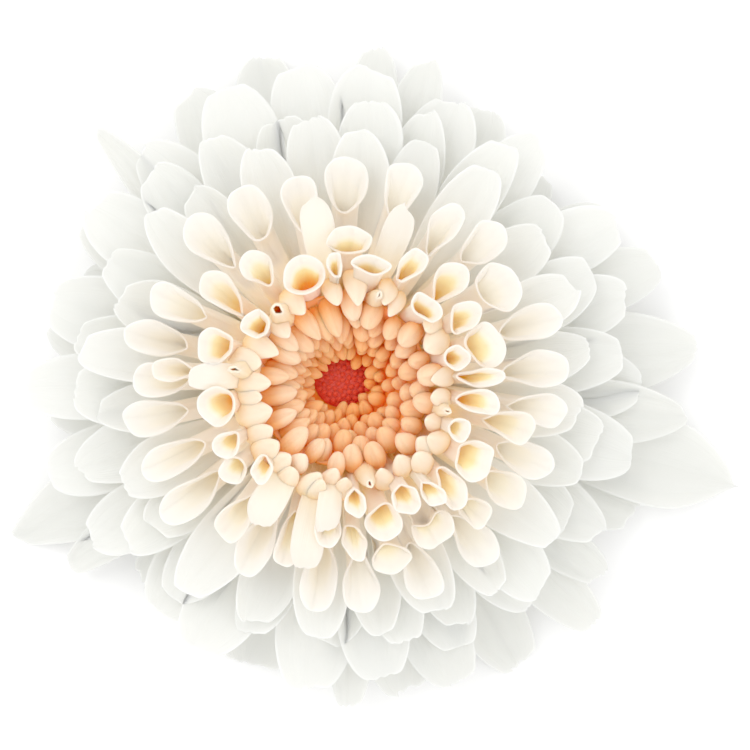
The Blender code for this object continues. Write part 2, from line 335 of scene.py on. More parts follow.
def petal_width(t, claw, widest, end, point):
    """A petal's width at t beside its widest: a narrow claw, a broad limb and its end, which is
    round where point is 0 and tapers like a lancet arch where point is 1."""
    s = np.clip(t / widest, 0, 1)
    rising = claw + (1 - claw) * s * s * (3 - 2 * s)
    s = np.clip((t - widest) / (1 - widest), 0, 1)
    round_end, lancet_end = np.sqrt(1 - s * s), 1 - s**LANCET_POWER
    falling = end + (1 - end) * ((1 - point) * round_end + point * lancet_end)
    return np.where(t < widest, rising, falling)


def facing(grid, closed):
    """Unit normals of a grid of points."""
    if closed:
        beside = np.roll(grid, -1, 1) - np.roll(grid, 1, 1)
    else:
        beside = np.gradient(grid, axis=1)
    onward = np.gradient(grid, axis=0)
    normal = np.cross(beside, onward)
    return normal / np.linalg.norm(normal, axis=-1, keepdims=True)


def spun(first, second, angle):
    """Two coordinates after a turn by an angle in radians, from the first towards the second."""
    c, s = np.cos(angle), np.sin(angle)
    return first * c - second * s, first * s + second * c


def round_the_stem(radius, side, height, azimuth):
    """Points from their distance from the bloom's axis, sideways step and height."""
    return np.stack((*spun(radius, side, math.radians(azimuth)), height), -1)


def thickened(grid, half):
    """Points and faces of a sheet, from the grid of its middle and its half thickness there. It
    is closed all round its margin."""
    rows, columns = half.shape
    count = rows * columns
    faces = strips(rows, columns, False)
    faces += [face[::-1] for face in strips(rows, columns, False, count)]
    ring = list(range(columns))
    ring += [row * columns + columns - 1 for row in range(1, rows)]
    ring += [(rows - 1) * columns + column for column in range(columns - 2, -1, -1)]
    ring += [row * columns for row in range(rows - 2, 0, -1)]
    for here, there in zip(ring, ring[1:] + ring[:1]):
        faces.append((here, here + count, there + count, there))
    out = facing(grid, False) * half[..., None]
    return np.stack((grid + out, grid - out)), faces


def petal(
    gathering,
    azimuth,
    keel,
    width,
    curl,
    *,
    claw,
    widest,
    end,
    rolled,
    groove,
    root_depth,
    root_reach,
    tone,
    point=0.0,
    thick=0.34,
    rows=14,
    columns=11,
    raised=0.0,
    ripple=0.0,
    cup=0.0,
    twist=0.0,
    bend=0.0,
    slant=0.0,
    notch=0.0,
    skew=0.0,
    crease=0.0,
    crease_at=0.0,
    hollow_shade=0.0,
    under=0.0,
    phase=0.0,
):
    """A flat floret: one blade, bent along its keel and curled across it, closed all round its
    margin. Its claw is rolled, and its limb grooved, creased, rippled, twisted or bent aside. A
    curl below 0 turns its back up. Curl and rolled have one sign, and neither is 0, so that the
    arc across the blade is never flat."""
    v, across = np.meshgrid(np.linspace(0, 1, rows), np.linspace(-1, 1, columns), indexing="ij")
    across = across * (1 + SIDE_CROWDING - SIDE_CROWDING * across**2)
    outwards = np.abs(across)
    # The tip's margin: rounded, slanting to one side, and toothed.
    t = 1 - (1 - v) ** TIP_CROWDING
    teeth = notch * (np.cos(across * TOOTH_RATE + phase) + 1) * (1 - TOOTH_FADE * outwards)
    held_back = TIP_ROUNDING * across**2 + slant * across + teeth
    t = t * (1 - held_back * t**TIP_POWER)
    # Across, the blade is an arc that turns more towards the rolled claw.
    radius, height, slope = keel_of(*keel, t)
    half_arc = np.radians(curl + (rolled - curl) * np.clip(1 - t / ROLLED_PART, 0, 1) ** 1.5)
    whole = petal_width(t, claw, widest, end, point) * width * (1 + skew * across)
    bow = whole / 2 / np.sin(half_arc)
    side = bow * np.sin(across * half_arc)
    lift = bow * (1 - np.cos(across * half_arc))
    # The limb: grooves along it, raised sides, a crease, waves, and an end that cups.
    limb = np.sin(math.pi * np.clip(t, 0, 1)) ** 0.7
    lift = lift - groove * limb * np.cos(across * GROOVES * math.pi) * (1 - GROOVE_FADE * outwards)
    lift = lift + raised * limb * outwards**4
    lift = lift + crease * t * np.abs(across - crease_at)
    wave = ripple * outwards**2 * t
    lift = lift + wave * np.sin(t * MARGIN_WAVES + phase + SIDES_OUT_OF_STEP * np.sign(across))
    side = side + SIDEWAYS_SHARE * wave * np.sin(t * SIDEWAYS_WAVES + 2 * phase)
    lift = lift + KEEL_SHARE * ripple * np.sin(t * KEEL_WAVES + 3 * phase) * t
    lift = lift + cup * np.clip((t - CUP_START) / (1 - CUP_START), 0, 1) ** 2
    side, lift = spun(side, lift, math.radians(twist) * t)
    side = side + bend * t * t
    grid = round_the_stem(
        radius - lift * np.sin(slope), side, height + lift * np.cos(slope), azimuth
    )
    margin = outwards**6 + np.clip((t - THIN_START) / (1 - THIN_START), 0, 1) ** 3
    half = thick / 2 * (1 - MARGIN_THINNING * np.clip(margin, 0, 1))
    points, faces = thickened(grid, half)
    # Depth: the root's tone, partly the claw's own warm colour and partly painted warm shade of the
    # crowded centre, more so along the middle, and painted shade in the hollow that runs out to the
    # tip. The underside takes only the root's tone, less by under.
    fade = np.clip(1 - t / root_reach, 0, 1) ** 1.2
    middle = 1 - across**2
    shade = fade * root_depth * (SIDE_DEPTH + (1 - SIDE_DEPTH) * middle)
    shade = shade + hollow_shade * middle * np.clip(HOLLOW_END - t, 0, 1) ** 0.6
    gathering.add(
        points,
        faces,
        depth=np.stack((shade, fade * (root_depth - under))).reshape(-1),
        along=np.stack((t, t)).reshape(-1),
        across=np.stack((across, across)).reshape(-1),
        tone=tone,
    )


cup = Gathering()
turned(cup, CUP_PROFILE, CUP_SIDES, CUP_RIBS, CUP_RIB_DEPTH)
for root_radius, root_height, reach, tip_height, width, turn in BRACT_ROWS:
    for i in range(BRACTS_IN_A_ROW):
        azimuth = (i + turn) * 360 / BRACTS_IN_A_ROW + vary(2)
        tip = (reach + vary(0.6), tip_height)
        petal(
            cup,
            azimuth,
            ((root_radius, root_height), BRACT_ROOT_SLOPE, tip, BRACT_TIP_SLOPE),
            width,
            24,
            claw=0.6,
            widest=0.45,
            end=0.15,
            thick=0.5,
            rolled=12,
            groove=0.05,
            root_depth=0.9,
            root_reach=1.3,
            tone=0.02 * (i % 3),
        )
bract_green = tissue(
    "bract_green",
    (
        (0.0, seen(214, 208, 158)),
        (0.12, seen(176, 190, 118)),
        (0.5, seen(128, 156, 84)),
        (1.0, seen(98, 130, 62)),
    ),
    roughness=0.6,
    glow=0.1,
    vein=0.06,
)
cup.piece("cup_and_bracts", bract_green, "bract", "involucre")


# The receptacle: the pale fleshy cushion inside the head that every floret grows from. It shows
# only between the claws of the petals, and steps inwards from the rays to the quills. It takes the
# petals' deep tones, painted warm shade in the gaps between the claws.
CUSHION_SIDES = 40
CUSHION_RIBS = 20
CUSHION_RIB_DEPTH = 0.02
CUSHION_PROFILE = (
    (0.6, 6.7, 0.7),
    (9.3, 6.7, 0.7),
    (11.2, 8.4, 0.6),
    (11.4, 9.2, 0.6),
    (10.6, 10.3, 0.75),
    (9.6, 11.2, 0.9),
    (10.1, 12.6, 0.9),
    (10.2, 13.8, 0.9),
    (8.4, 15.0, 0.9),
    (0.6, 15.0, 0.9),
)
cushion = Gathering()
turned(cushion, CUSHION_PROFILE, CUSHION_SIDES, CUSHION_RIBS, CUSHION_RIB_DEPTH)
petal_white = tissue(
    "petal_white",
    (
        (0.0, seen(212, 213, 205)),
        (0.2, seen(231, 229, 217)),
        (0.5, seen(249, 237, 206)),
        (1.0, seen(254, 220, 148)),
    ),
    glow_reach=2.0,
    vein=0.05,
)
cushion.piece("receptacle", petal_white, "ray_petal")


# The outermost ray petals: broad waxy blades that lie almost flat and make the bloom's outline.
# Each grows from a narrow claw, with grooves along it and a finely toothed end.
LOW, MIDDLE, HIGH = 0.3, 2.9, 5.5
# Each one's azimuth, reach, width, tip height, where it is widest, how broad its end is, and how
# pointed. Rounding and teeth take a little off a blade, so it starts larger by the two spares.
OUTER_PETALS = (
    (345.0, 48.9, 10.6, LOW, 0.78, 0.025, 1.0),
    (354.0, 41.0, 7.4, HIGH, 0.72, 0.10, 0.5),
    (5.0, 42.6, 9.8, MIDDLE, 0.70, 0.125, 0.6),
    (20.0, 39.8, 7.6, HIGH, 0.72, 0.20, 0.0),
    (30.5, 37.4, 8.4, MIDDLE, 0.76, 0.24, 0.0),
    (46.0, 34.2, 8.4, LOW, 0.74, 0.21, 0.0),
    (61.5, 36.4, 8.2, MIDDLE, 0.72, 0.19, 0.1),
    (74.5, 39.2, 6.4, HIGH, 0.70, 0.16, 0.2),
    (84.0, 39.8, 6.8, MIDDLE, 0.68, 0.15, 0.2),
    (104.0, 39.8, 8.2, LOW, 0.72, 0.19, 0.0),
    (117.5, 38.6, 8.8, MIDDLE, 0.70, 0.175, 0.1),
    (134.5, 41.4, 5.6, HIGH, 0.50, 0.14, 0.7),
    (147.5, 35.8, 8.6, MIDDLE, 0.74, 0.21, 0.0),
    (159.0, 33.2, 8.4, LOW, 0.74, 0.21, 0.0),
    (169.0, 35.0, 7.4, HIGH, 0.80, 0.29, 0.0),
    (183.0, 35.0, 9.0, MIDDLE, 0.80, 0.28, 0.0),
    (206.0, 43.4, 10.4, LOW, 0.60, 0.15, 0.8),
    (214.5, 39.2, 5.8, MIDDLE, 0.70, 0.17, 0.3),
    (226.0, 33.8, 6.6, HIGH, 0.72, 0.19, 0.0),
    (235.5, 34.2, 7.2, MIDDLE, 0.74, 0.21, 0.0),
    (251.5, 35.8, 9.6, LOW, 0.80, 0.26, 0.0),
    (271.0, 38.8, 5.6, HIGH, 0.70, 0.16, 0.2),
    (281.0, 38.0, 8.2, MIDDLE, 0.72, 0.20, 0.0),
    (291.0, 38.4, 8.4, HIGH, 0.72, 0.20, 0.0),
    (301.5, 40.4, 8.2, LOW, 0.72, 0.19, 0.0),
    (316.0, 42.0, 7.0, MIDDLE, 0.70, 0.15, 0.2),
    (323.0, 38.6, 6.0, HIGH, 0.70, 0.17, 0.0),
    (336.5, 38.4, 9.0, MIDDLE, 0.72, 0.20, 0.0),
)
REACH_SPARE = 0.4
WIDTH_SPARE = 1.04
# The higher a tip stands, the higher its root and the steeper it leaves, by these rises.
OUTER_ROOT_RADIUS = 8.8
OUTER_ROOT_HEIGHT = 6.6
ROOT_RISE = 0.3
OUTER_ROOT_SLOPE = 8
SLOPE_RISE = 2.4
OUTER_TIP_SLOPE = -24
outer = Gathering()
for azimuth, reach, width, tip_height, widest, end, point in OUTER_PETALS:
    root = (OUTER_ROOT_RADIUS, OUTER_ROOT_HEIGHT + ROOT_RISE * tip_height)
    root_slope = OUTER_ROOT_SLOPE + SLOPE_RISE * tip_height
    petal(
        outer,
        azimuth,
        (root, root_slope, (reach + REACH_SPARE, tip_height), OUTER_TIP_SLOPE),
        width * WIDTH_SPARE,
        15 + vary(3),
        widest=widest,
        end=end,
        point=point,
        columns=15,
        claw=0.32,
        rolled=40,
        groove=0.16 + vary(0.08),
        raised=0.2 + vary(0.12),
        ripple=0.3 + vary(0.15),
        cup=0.1,
        twist=vary(3),
        slant=vary(0.025),
        notch=0.008 * (1 - point) * (1 + vary(0.9)),
        skew=vary(0.14),
        crease=0.22 + vary(0.2),
        crease_at=vary(0.5),
        root_depth=0.45,
        root_reach=0.8,
        hollow_shade=0.1,
        tone=vary(0.04),
        phase=vary(math.pi),
    )
# A copy of the white tissue with greyer, darker tones: painted shade for petals whose tips lie open
# to more light, so that they stand off the white table.
outer_shaded_white = tissue(
    "outer_shaded_white",
    (
        (0.0, seen(198, 200, 193)),
        (0.3, seen(226, 223, 210)),
        (0.6, seen(248, 235, 203)),
        (1.0, seen(252, 228, 170)),
    ),
    glow_reach=2.0,
    vein=0.06,
)
outer.piece("outer_petals", outer_shaded_white, "ray_petal", "ray_petals")


# The spoon petals: three tiers of shorter white blades above the outermost ones, each rolled up
# at its claw and cupped at its end like a spoon. They stand steeper tier by tier.
SPOON_ROOT_RADIUS = 9.8
# Every other petal of a tier stands higher than its neighbours, by twice these steps.
TIP_STEP = 0.85
ROOT_STEP = 0.3
SLOPE_STEP = 2.5
# Each tier's count, turn in petals, root height and slope, reach, tip height and slope, width,
# curl, and how much painted shade lies in the hollow along its middle.
SPOON_TIERS = (
    (22, 0.0, 8.2, 20, 35.8, 8.9, -20, 8.5, 24, 0.12),
    (22, 0.25, 9.0, 31, 32.6, 12.4, -15, 7.8, 28, 0.20),
    (24, 0.5, 9.6, 39, 29.4, 15.9, -10, 6.8, 35, 0.28),
)
spoons = Gathering()
for count, turn, foot, root_slope, reach, tip_height, tip_slope, width, curl, hollow_shade in SPOON_TIERS:
    for i in range(count):
        azimuth = (i + turn) * 360 / count + vary(2.4)
        step = 1 if i % 2 else -1
        root = (SPOON_ROOT_RADIUS, foot + ROOT_STEP * step)
        tip = (reach + vary(1.7), tip_height + TIP_STEP * step + vary(0.2))
        petal(
            spoons,
            azimuth,
            (root, root_slope + SLOPE_STEP * step, tip, tip_slope + vary(4)),
            width * (1 + vary(0.12)),
            curl + vary(5),
            end=0.17 + vary(0.08),
            point=max(0.0, 0.15 + vary(0.3)),
            widest=0.73 + vary(0.06),
            claw=0.4,
            rolled=58,
            groove=0.15 + vary(0.09),
            raised=0.25 + vary(0.2),
            ripple=0.24 + vary(0.14),
            cup=0.7 + vary(0.5),
            twist=vary(5),
            bend=vary(1.2),
            slant=vary(0.03),
            notch=0.006 + vary(0.006),
            skew=vary(0.14),
            crease=0.15 + vary(0.15),
            crease_at=vary(0.5),
            root_depth=0.8,
            root_reach=0.9,
            hollow_shade=hollow_shade,
            under=0.3,
            tone=vary(0.04),
            phase=vary(math.pi),
        )
spoons.piece("spoon_petals", petal_white, "ray_petal", "ray_petals")


# The quilled florets: cream tubes round the crown, which stand closer together inwards. Each is
# one petal rolled up, whose mouth opens into a far lip. The whole crown leans a little.
CROWN_LEAN = (0.08, -0.045)
LEAN_FROM = 10.5
# Each mouth as it shows from above: azimuth, its near rim and far lip from the crown's axis, its
# width, how far the near end is pinched, or dented where that is below 0, the slope of its far
# lip before LIP_FLARE is taken off, and its turn.
QUILLS = (
    (4.5, 12.0, 17.4, 2.7, 0.3, 60, 0),
    (18, 13.7, 18.0, 5.8, 0.1, 35, 0),
    (32, 12.9, 17.2, 4.0, 0.3, 60, 25),
    (46, 13.4, 18.8, 5.0, 0.5, 55, 10),
    (64, 12.9, 17.6, 3.3, 0.3, 65, -15),
    (74, 14.8, 20.8, 4.0, 0.4, 60, 0),
    (91, 15.0, 18.4, 5.4, 0.0, 50, 0),
    (81, 12.9, 15.2, 4.8, 0.0, 85, 0),
    (113.5, 11.6, 16.2, 5.4, 0.05, 60, 0),
    (97.5, 12.4, 15.6, 2.1, 0.2, 80, 0),
    (128, 14.6, 19.4, 4.8, 0.5, 20, 10),
    (145, 14.3, 21.2, 5.0, 0.6, 50, -8),
    (147, 11.3, 14.8, 3.6, 0.1, 80, 0),
    (163, 13.9, 18.4, 4.8, 0.2, 70, 15),
    (175, 17.0, 22.8, 3.8, 0.6, 60, 0),
    (188, 13.3, 17.8, 4.8, 0.0, 60, 0),
    (205, 13.8, 17.4, 3.4, 0.2, 70, 20),
    (215, 14.9, 18.2, 3.6, 0.1, 50, 0),
    (230, 15.7, 23.0, 5.4, 0.8, 50, 0),
    (222, 12.2, 15.6, 3.2, 0.4, 80, 30),
    (249, 15.4, 22.3, 4.8, 0.75, 50, 5),
    (261, 14.6, 18.6, 3.8, 0.3, 80, 0),
    (271, 15.8, 20.0, 3.4, 0.3, 65, 20),
    (272, 11.6, 14.8, 3.0, 0.2, 80, 8),
    (284, 13.7, 18.0, 4.6, 0.1, 60, 0),
    (283, 18.6, 22.0, 5.4, 0.2, 40, 0),
    (300, 16.6, 21.0, 5.2, -0.3, 50, 0),
    (296, 12.4, 16.0, 3.8, 0.2, 85, 0),
    (307, 13.4, 16.8, 2.8, 0.2, 80, 10),
    (315, 13.6, 18.8, 4.0, 0.4, 60, -20),
    (314, 18.4, 22.4, 4.2, 0.4, 55, 10),
    (329, 14.0, 18.4, 5.2, 0.1, 50, 0),
    (326, 18.9, 24.3, 5.6, 0.5, 45, 0),
    (338, 11.7, 14.4, 3.0, 0.1, 80, 0),
    (346, 15.6, 21.8, 5.0, 0.6, 45, 0),
    (352.5, 11.8, 17.0, 3.4, 0.3, 70, 0),
    (15, 10.9, 13.9, 3.2, 0.1, 80, -10),
    (47, 10.9, 13.7, 4.2, 0.0, 80, 0),
)
# The outer ones are long troughs whose near end runs out in a narrow V.
TROUGHS = (
    (33, 18.0, 23.0, 6.6, 0.15, 40, 0),
    (46, 19.2, 25.6, 5.6, 0.45, 50, 0),
    (59, 17.4, 24.2, 5.0, 0.6, 50, 0),
    (18, 18.4, 26.0, 5.6, 0.5, 50, 0),
    (4, 17.8, 25.6, 5.8, 0.5, 50, 0),
    (91, 19.5, 26.4, 6.4, 0.4, 45, 0),
    (105, 17.4, 25.0, 5.4, 0.5, 55, 0),
    (119, 19.0, 26.2, 6.0, 0.4, 50, 0),
    (134, 18.6, 26.6, 6.0, 0.5, 50, 0),
    (155, 17.8, 25.4, 5.6, 0.6, 55, 0),
    (167, 18.8, 26.6, 5.6, 0.5, 50, 0),
    (178, 17.8, 25.0, 5.2, 0.5, 50, 0),
    (190, 18.4, 26.4, 5.6, 0.5, 50, 0),
    (203, 17.6, 26.0, 5.8, 0.6, 50, 0),
    (216, 17.8, 26.6, 6.0, 0.6, 50, 0),
    (240, 17.0, 25.2, 5.6, 0.5, 50, 0),
    (261, 18.2, 26.8, 5.8, 0.5, 50, 0),
    (274, 19.0, 26.4, 5.6, 0.5, 50, 0),
    (292, 19.6, 26.8, 5.6, 0.5, 50, 0),
    (309, 19.4, 26.6, 5.8, 0.5, 50, 0),
    (337, 18.6, 25.6, 5.6, 0.5, 50, 0),
    (75, 19.6, 26.6, 5.6, 0.5, 50, 0),
    (353, 18.4, 25.4, 5.0, 0.5, 50, 0),
)
LIP_FLARE = 38
QUILL_ROWS = 13
QUILL_SIDES = 22
QUILL_WALL = 0.24
QUILL_ROOT_RADIUS = 9.3
CLAW_RADIUS = 0.8
# A tube's half width below the mouth, beside the mouth's width, and the shares of its length for
# which its root's and its lip's slopes hold. Its rings crowd towards the rim.
TUBE_BULK = 0.36
ROOT_HOLD = 0.42
LIP_HOLD = 0.3
RIM_CROWDING = 1.5
# A flare takes up this share of the mouth's half width at most. A wall that arrives more steeply
# than the least flare counts as flaring by that much.
ROOM_SHARE = 0.78
LEAST_FLARE = 0.25
# A mouth shorter than this has a calmer rim, and a longer one has sides that rise more.
FULL_MOUTH = 4
SIDE_RISE = 0.2
SIDE_RISE_MORE = 0.16
# How far a mouth's near end lies below its far lip, beside its length: near the buds, how much
# more where it is pinched, and on the troughs. A dent in the near end is this deep when full.
MOUTH_FALL = 0.38
PINCHED_FALL = 0.25
TROUGH_FALL = 0.24
DENT = 2.2
# The crown's profile: the height of a far lip by its distance from the axis, and the root below.
LIP_PROFILE = ((10.5, 12.0, 13.4, 16.8, 19.8, 23.6, 27.5), (26.8, 27.8, 28.4, 28.4, 26.4, 23.2, 20.0))
ROOT_HEIGHTS = ((13.4, 16.8, 19.8, 27.5), (14.6, 14.2, 12.6, 10.2))
ROOT_SLOPES = ((13.4, 16.8, 19.8, 27.5), (86, 76, 58, 38))
# How golden a throat is, by its far lip's distance: most near the buds. The gold is partly the
# florets' own colour and partly painted warm shade down the tube. It comes in two steps: where
# below the rim each starts, over what share of the tube it grows, and how much of the gold it is.
GOLD = ((17, 22, 26), (1.0, 0.6, 0.35))
GOLD_STEPS = ((0.12, 0.17, 0.82), (0.34, 0.3, 0.18))
# How deep the painted warm shade on a tube's outside is at its root, and how much deeper on a
# golden one.
OUTSIDE_DEPTH = 0.25
OUTSIDE_GOLD = 0.45


def lean(points):
    """Each level of the crown slides sideways with its height."""
    rise = points[..., 2] - LEAN_FROM
    points = points.copy()
    points[..., 0] += CROWN_LEAN[0] * rise
    points[..., 1] += CROWN_LEAN[1] * rise
    return points


def mouth_of(near, far, width, pinch, lip, near_lip, turn):
    """A mouth's rim as it stands at azimuth 0, the unit direction in which each line of the wall
    arrives there, and how far before the rim it takes that course at most."""
    around = np.arange(QUILL_SIDES) * math.tau / QUILL_SIDES
    c, s = np.cos(around), np.sin(around)
    nearness = (1 - c) / 2
    length = far - near
    half_long, half_wide = length / 2, width / 2
    pinched, dented = max(pinch, 0), max(-pinch, 0)
    phases = [vary(math.pi) for _ in range(5)]

    def waver(size, lobes, which):
        """Waves round the rim, of a size that holds for a full mouth."""
        return size * min(1.0, length / FULL_MOUTH) * np.sin(lobes * around + phases[which])

    # Seen from above: an uneven oval, narrower where it is pinched.
    out = half_long * c + waver(0.13, 3, 0) + waver(0.09, 5, 3) * (0.4 + 0.6 * np.abs(c))
    out = out + DENT * dented * half_long * np.clip(-c, 0, 1) ** 6
    side = half_wide * s * (1 - pinched * nearness) + waver(0.16, 2, 1) + waver(0.08, 5, 2)
    across = np.hypot(half_wide * c, half_long * s)
    out, side = spun(out, side, math.radians(turn))
    flare_out, flare_side = spun(half_wide * c / across, half_long * s / across, math.radians(turn))
    # Seen from the side: it falls from the far lip to the near end, with its sides raised.
    top = np.interp(far, *LIP_PROFILE)
    fall = np.interp(far, (20.0, 23.0), (MOUTH_FALL + PINCHED_FALL * pinched, TROUGH_FALL))
    rise = SIDE_RISE + SIDE_RISE_MORE * max(length - FULL_MOUTH, 0)
    height = top - fall * length * nearness + rise * s * s
    height = height + waver(0.24, 2, 2) + waver(0.22, 3, 3) + waver(0.12, 6, 0)
    rim = np.stack(((far + near) / 2 + out, side, height), -1)
    # The wall flares out level at the lip, and stands steeper at the near end.
    slope = np.radians(lip + (near_lip - lip) * nearness**0.8 + waver(10, 2, 4))[:, None]
    flare = np.stack((flare_out, flare_side, 0 * c), -1)
    arrive = flare * np.cos(slope) + np.array((0, 0, 1)) * np.sin(slope)
    # It takes that course for longer in a longer mouth and towards the lip, if there is room.
    flaring = np.maximum(np.abs(np.cos(slope)), LEAST_FLARE)
    room = half_wide * (1 - pinched * nearness)[:, None] / flaring
    course = 0.3 * length + 1.1 * (1 - nearness[:, None]) + 0.6
    return rim, arrive, np.minimum(course, ROOM_SHARE * room)


def quill(gathering, azimuth, near, far, width, pinch, lip, turn, tone, bulk=None, near_lip=50):
    """A tube that leaves its root as a narrow claw and widens into the mouth. Every line of its
    wall is a cubic curve from the root's circle to the rim. Bulk is its half width below it."""
    rim, arrive, course = mouth_of(near, far, width, pinch, lip, near_lip, turn)
    around = np.arange(QUILL_SIDES) * math.tau / QUILL_SIDES
    slope = math.radians(np.interp(far, *ROOT_SLOPES))
    root = np.array((QUILL_ROOT_RADIUS, 0, np.interp(far, *ROOT_HEIGHTS)))
    leave = np.array((math.cos(slope), 0, math.sin(slope)))
    down = np.array((math.sin(slope), 0, -math.cos(slope)))
    circle = np.cos(around)[:, None] * down + np.sin(around)[:, None] * np.array((0, 1, 0))
    foot = root + CLAW_RADIUS * circle
    reach = np.linalg.norm(rim - foot, axis=-1, keepdims=True)
    bulk = TUBE_BULK * width if bulk is None else bulk
    second = root + bulk * circle + leave * reach * ROOT_HOLD
    third = rim - arrive * np.minimum(LIP_HOLD * reach, course)
    v = 1 - (1 - np.linspace(0, 1, QUILL_ROWS)[:, None, None]) ** RIM_CROWDING
    w = 1 - v
    wall = foot * w**3 + second * 3 * w * w * v + third * 3 * w * v * v + rim * v**3
    grid = lean(round_the_stem(wall[..., 0], wall[..., 1], wall[..., 2], azimuth))
    # The lining: the wall's inner side, from the rim down to a floor deep in the tube.
    first = QUILL_ROWS // 3
    lining = (grid - facing(grid, True) * QUILL_WALL)[first:][::-1]
    count = QUILL_ROWS * QUILL_SIDES
    faces = strips(QUILL_ROWS, QUILL_SIDES, True)
    faces += strips(len(lining), QUILL_SIDES, True, count)
    rim_start = count - QUILL_SIDES
    for column in range(QUILL_SIDES):
        beside = (column + 1) % QUILL_SIDES
        faces.append((rim_start + column, rim_start + beside, count + beside, count + column))
    faces.append(tuple(range(QUILL_SIDES - 1, -1, -1)))
    floor = count + (len(lining) - 1) * QUILL_SIDES
    faces.append(tuple(range(floor, floor + QUILL_SIDES)))
    # Colour: the outside deepens to the root in painted warm shade, and the throat turns golden just
    # below the rim, partly its own gold and partly painted warm shade.
    v = np.repeat(v[..., 0], QUILL_SIDES, 1)
    gold = np.interp(far, *GOLD)
    outside = (OUTSIDE_DEPTH + OUTSIDE_GOLD * gold) * np.clip(1 - v / 0.97, 0, 1) ** 0.7
    steps = (part * np.clip((1 - v - start) / run, 0, 1) for start, run, part in GOLD_STEPS)
    inside = (gold * sum(steps))[first:][::-1]
    gathering.add(
        np.concatenate((grid, lining)),
        faces,
        depth=np.concatenate((outside, inside)).reshape(-1),
        along=np.concatenate((v, v[first:][::-1])).reshape(-1),
        across=np.tile(around / math.pi - 1, QUILL_ROWS + len(lining)),
        tone=tone,
    )


quills = Gathering()
troughs = Gathering()
for gathering, mouths in ((quills, QUILLS), (troughs, TROUGHS)):
    for azimuth, near, far, width, pinch, lip, turn in mouths:
        quill(
            gathering,
            azimuth + vary(0.6),
            near,
            far,
            width,
            pinch,
            lip - LIP_FLARE + vary(8),
            turn,
            vary(0.05),
        )
quill_cream = tissue(
    "quill_cream",
    (
        (0.0, seen(227, 213, 196)),
        (0.3, seen(248, 234, 204)),
        (0.6, seen(254, 221, 154)),
        (0.85, seen(254, 192, 94)),
        (1.0, seen(252, 160, 46)),
    ),
    glow_reach=1.6,
)
quills.piece("quilled_mouths", quill_cream, "quill", "quilled_florets")
trough_ivory = tissue(
    "trough_ivory",
    (
        (0.0, seen(228, 219, 206)),
        (0.3, seen(247, 237, 216)),
        (0.6, seen(254, 223, 160)),
        (1.0, seen(253, 198, 100)),
    ),
    glow_reach=1.6,
)
troughs.piece("outer_troughs", trough_ivory, "quill", "quilled_florets")


# The straps: a few cream florets that opened flat. They stand up from the crown between the
# mouths and curl outwards over them with their backs up.
STRAP_ROOT = (QUILL_ROOT_RADIUS, 14.6)
STRAP_ROOT_SLOPE = 86
# Teeth and curl take a little off a strap, so it starts longer, higher and wider by the spares.
STRAP_REACH_SPARE = 0.8
STRAP_HEIGHT_SPARE = 0.6
STRAP_WIDTH_SPARE = 1.15
# Each one's azimuth, the reach, height and slope of its tip, and its width.
STRAPS = (
    (71, 20.4, 25.0, -35, 3.0),
    (97, 20.4, 25.6, -30, 3.4),
    (177, 16.6, 26.8, -16, 2.8),
    (238, 18.4, 26.0, -26, 3.6),
    (257, 21.4, 24.6, -34, 3.4),
    (265, 16.8, 26.9, -20, 2.5),
)
straps = Gathering()
for azimuth, reach, tip_height, tip_slope, width in STRAPS:
    tip = (reach + STRAP_REACH_SPARE, tip_height + STRAP_HEIGHT_SPARE)
    petal(
        straps,
        azimuth + vary(1.5),
        (STRAP_ROOT, STRAP_ROOT_SLOPE, tip, tip_slope),
        width * STRAP_WIDTH_SPARE,
        -26 + vary(10),
        claw=0.5,
        widest=0.82,
        end=0.22 + vary(0.1),
        thick=0.26,
        rows=16,
        columns=9,
        rolled=-8,
        groove=0.1,
        ripple=0.25 + vary(0.15),
        twist=vary(14),
        bend=vary(1.2),
        slant=vary(0.05),
        notch=0.012 + vary(0.012),
        skew=vary(0.2),
        root_depth=0.9,
        root_reach=1.0,
        tone=vary(0.05),
        phase=vary(math.pi),
    )
straps.piece("crown_straps", quill_cream, "quill", "quilled_florets")


# The florets on the crown's inner edge, peach and soft: some are only just opening, with a small
# hole at the top, and the rest are still shut, blunt scales that bow to the axis over the buds.
SHUT_TILT = 10.0
SHUT_LENGTH = 6.6
SHUT_FOOT = 22.6
# A shut floret's thickness, and the breadth at which its body starts, beside its width.
SHUT_THICKNESS = 0.72
SHUT_BREADTH = 1.12
# The opening ones: azimuth, distance of the hole from the axis, its length and width, the body's
# half width and its closing slope.
HALF_OPEN = (
    (73, 10.9, 0.9, 0.6, 2.0, 106),
    (133, 12.2, 1.5, 1.2, 2.3, 102),
    (171, 13.6, 1.5, 0.7, 2.4, 104),
    (281, 11.2, 0.9, 0.7, 2.2, 110),
    (345, 11.2, 0.9, 0.6, 2.0, 106),
)
